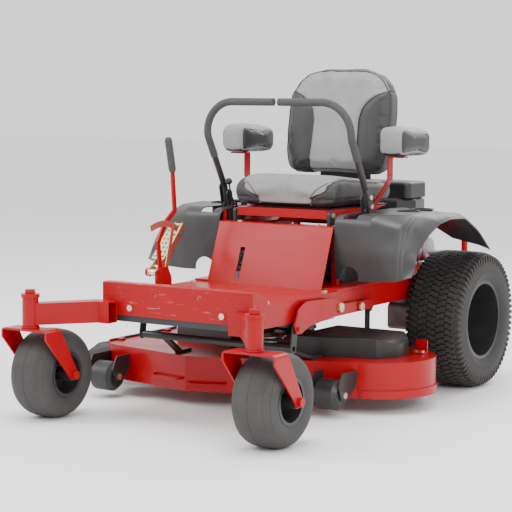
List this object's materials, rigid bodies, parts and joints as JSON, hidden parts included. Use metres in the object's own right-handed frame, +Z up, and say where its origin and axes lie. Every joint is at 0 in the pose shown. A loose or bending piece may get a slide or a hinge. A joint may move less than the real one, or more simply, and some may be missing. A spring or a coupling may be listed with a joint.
{
  "type": "zero turn mower",
  "caption": "Ride-on zero turn mower with twin steering levers, high-back seat, front casters, turf drive wheels and a belly deck with side discharge.",
  "frame": {"origin": "middle of the machine's footprint (its bounding box seen from above), on the ground", "axes": "+Z up, -Y forwards, +X towards the rider's left; the machine's own centre plane is at x = +0.086 because the discharge deflector stands out on the right"},
  "size_m": [1.435, 2.0741, 1.3156],
  "materials": {
    "red_paint": "gloss crimson powder coat",
    "black_paint": "satin black powder coat",
    "zinc": "yellow zinc plate",
    "steel": "bright ground steel",
    "alloy": "cast aluminium",
    "tyre": "black tyre rubber",
    "belt_rubber": "matt black belt rubber",
    "fender_plastic": "satin grained black plastic",
    "black_plastic": "black moulded plastic",
    "grip_foam": "dark grey foam grip",
    "grey_vinyl": "light and dark grey vinyl over foam"
  },
  "bodies": {
    "chassis": {"rails": "red_paint", "front_beam": "red_paint", "caster_arms": "red_paint", "platform": "red_paint", "console_panel": "red_paint", "tower_posts": "red_paint", "left_fender": "fender_plastic", "right_fender": "fender_plastic", "fender_trim": "fender_plastic", "frame_bolts": "zinc", "lever_pivots": "black_paint", "rear_frame": "red_paint", "engine_block": "alloy", "blower_housing": "black_plastic", "transaxles": "alloy", "traction_belt": "belt_rubber", "fuel_tank": "black_plastic"},
    "seat_platform": {"seat_pan": "red_paint"},
    "seat": {"seat_base": "black_paint", "arm_bars": "red_paint", "seat_cushion": "grey_vinyl", "seat_back": "grey_vinyl", "arm_pads": "grey_vinyl"},
    "engine_output": {"engine_shaft": "steel"},
    "throttle": {"throttle_lever": "black_plastic"},
    "foot_lift": {"lift_pedal": "zinc", "lift_lever": "red_paint", "lift_grip": "black_plastic"},
    "front_lift": {"lift_arms": "red_paint"},
    "rear_lift": {"rear_lift_arms": "black_paint"},
    "deck": {"deck_shell": "red_paint", "spindle_housings": "black_paint", "deck_belt": "belt_rubber", "belt_covers": "black_plastic", "deck_carrier": "black_paint", "deck_bolts": "zinc"},
    "chute": {"discharge_chute": "black_plastic"},
    "left_pump_drive": {"left_pump": "steel"},
    "left_lever": {"left_lever_base": "black_paint"},
    "left_lap_bar": {"left_lever_bar": "black_paint", "left_lever_grip": "grip_foam"},
    "left_drive_wheel": {"left_drive_tyre": "tyre", "left_drive_rim": "black_paint"},
    "left_fork": {"left_caster_fork": "red_paint"},
    "left_caster_wheel": {"left_caster_tyre": "tyre", "left_caster_rim": "black_paint"},
    "left_scalp_roller": {"left_roller": "black_plastic"},
    "right_pump_drive": {"right_pump": "steel"},
    "right_lever": {"right_lever_base": "black_paint"},
    "right_lap_bar": {"right_lever_bar": "black_paint", "right_lever_grip": "grip_foam"},
    "right_drive_wheel": {"right_drive_tyre": "tyre", "right_drive_rim": "black_paint"},
    "right_fork": {"right_caster_fork": "red_paint"},
    "right_caster_wheel": {"right_caster_tyre": "tyre", "right_caster_rim": "black_paint"},
    "right_scalp_roller": {"right_roller": "black_plastic"},
    "left_spindle": {"left_blade": "steel"},
    "centre_spindle": {"centre_blade": "steel"},
    "right_spindle": {"right_blade": "steel"}
  },
  "joints": [
    {"name": "seat_tilt", "type": "hinge", "parent": "chassis", "child": "seat_platform", "pos_m": [0.086, -0.032, 0.728], "axis": [1, 0, 0], "range_deg": [0, 30]},
    {"name": "seat_slide", "type": "slide", "parent": "seat_platform", "child": "seat", "axis": [0, 1, 0], "range_m": [0, 0.08]},
    {"name": "throttle", "type": "hinge", "parent": "chassis", "child": "throttle", "pos_m": [-0.198, 0.048, 0.75], "axis": [1, 0, 0], "range_deg": [-12, 12]},
    {"name": "left_drive", "type": "hinge", "parent": "chassis", "child": "left_lever", "pos_m": [0.415, 0.088, 0.6], "axis": [1, 0, 0], "range_deg": [-14, 14]},
    {"name": "left_park", "type": "hinge", "parent": "left_lever", "child": "left_lap_bar", "pos_m": [0.415, 0.06, 0.75], "axis": [0, 1, 0], "range_deg": [0, 30]},
    {"name": "left_wheel_turn", "type": "hinge", "parent": "chassis", "child": "left_drive_wheel", "pos_m": [0.555, 0.608, 0.2794], "axis": [1, 0, 0], "continuous": true},
    {"name": "left_caster_swivel", "type": "hinge", "parent": "chassis", "child": "left_fork", "pos_m": [0.569, -0.993, 0.4], "axis": [0, 0, 1], "continuous": true},
    {"name": "left_caster_turn", "type": "hinge", "parent": "left_fork", "child": "left_caster_wheel", "pos_m": [0.569, -0.874, 0.1651], "axis": [1, 0, 0], "continuous": true},
    {"name": "left_pump_turn", "type": "hinge", "parent": "chassis", "child": "left_pump_drive", "pos_m": [0.301, 0.598, 0.388], "axis": [0, 0, 1], "continuous": true},
    {"name": "right_drive", "type": "hinge", "parent": "chassis", "child": "right_lever", "pos_m": [-0.243, 0.088, 0.6], "axis": [1, 0, 0], "range_deg": [-14, 14]},
    {"name": "right_park", "type": "hinge", "parent": "right_lever", "child": "right_lap_bar", "pos_m": [-0.243, 0.06, 0.75], "axis": [0, -1, 0], "range_deg": [0, 30]},
    {"name": "right_wheel_turn", "type": "hinge", "parent": "chassis", "child": "right_drive_wheel", "pos_m": [-0.383, 0.608, 0.2794], "axis": [1, 0, 0], "continuous": true},
    {"name": "right_caster_swivel", "type": "hinge", "parent": "chassis", "child": "right_fork", "pos_m": [-0.397, -0.993, 0.4], "axis": [0, 0, 1], "continuous": true},
    {"name": "right_caster_turn", "type": "hinge", "parent": "right_fork", "child": "right_caster_wheel", "pos_m": [-0.397, -0.874, 0.1651], "axis": [1, 0, 0], "continuous": true},
    {"name": "right_pump_turn", "type": "hinge", "parent": "chassis", "child": "right_pump_drive", "pos_m": [-0.129, 0.598, 0.388], "axis": [0, 0, 1], "continuous": true},
    {"name": "engine_turn", "type": "hinge", "parent": "chassis", "child": "engine_output", "pos_m": [0.086, 0.758, 0.388], "axis": [0, 0, 1], "continuous": true},
    {"name": "deck_lift", "type": "slide", "parent": "chassis", "child": "deck", "axis": [0, 0, 1], "range_m": [-0.02, 0.05]},
    {"name": "front_lift_turn", "type": "hinge", "parent": "chassis", "child": "front_lift", "pos_m": [0.086, -0.042, 0.386], "axis": [-1, 0, 0], "range_deg": [-3, 7]},
    {"name": "rear_lift_turn", "type": "hinge", "parent": "chassis", "child": "rear_lift", "pos_m": [0.086, 0.008, 0.397], "axis": [1, 0, 0], "range_deg": [-7, 16]},
    {"name": "foot_lift_turn", "type": "hinge", "parent": "chassis", "child": "foot_lift", "pos_m": [-0.284, -0.377, 0.5], "axis": [1, 0, 0], "range_deg": [-11, 26]},
    {"name": "chute_swing", "type": "hinge", "parent": "deck", "child": "chute", "pos_m": [-0.567, -0.072, 0.199], "axis": [0, 1, 0], "range_deg": [0, 85]},
    {"name": "left_blade_turn", "type": "hinge", "parent": "deck", "child": "left_spindle", "pos_m": [0.481, 0.023, 0.248], "axis": [0, 0, 1], "continuous": true},
    {"name": "centre_blade_turn", "type": "hinge", "parent": "deck", "child": "centre_spindle", "pos_m": [0.081, -0.14, 0.248], "axis": [0, 0, 1], "continuous": true},
    {"name": "right_blade_turn", "type": "hinge", "parent": "deck", "child": "right_spindle", "pos_m": [-0.319, 0.023, 0.248], "axis": [0, 0, 1], "continuous": true},
    {"name": "left_roller_turn", "type": "hinge", "parent": "deck", "child": "left_scalp_roller", "pos_m": [0.46, -0.3, 0.086], "axis": [1, 0, 0], "continuous": true},
    {"name": "right_roller_turn", "type": "hinge", "parent": "deck", "child": "right_scalp_roller", "pos_m": [-0.474, -0.444, 0.086], "axis": [1, 0, 0], "continuous": true}
  ],
  "couplings": [
    {"joint": "front_lift_turn", "follows": "deck_lift", "rad_per_m": 2.198},
    {"joint": "rear_lift_turn", "follows": "deck_lift", "rad_per_m": 5},
    {"joint": "foot_lift_turn", "follows": "deck_lift", "rad_per_m": 8.73},
    {"joint": "left_pump_turn", "follows": "engine_turn", "ratio": 1},
    {"joint": "right_pump_turn", "follows": "engine_turn", "ratio": 1},
    {"joint": "left_blade_turn", "follows": "centre_blade_turn", "ratio": 1},
    {"joint": "right_blade_turn", "follows": "centre_blade_turn", "ratio": 1}
  ]
}
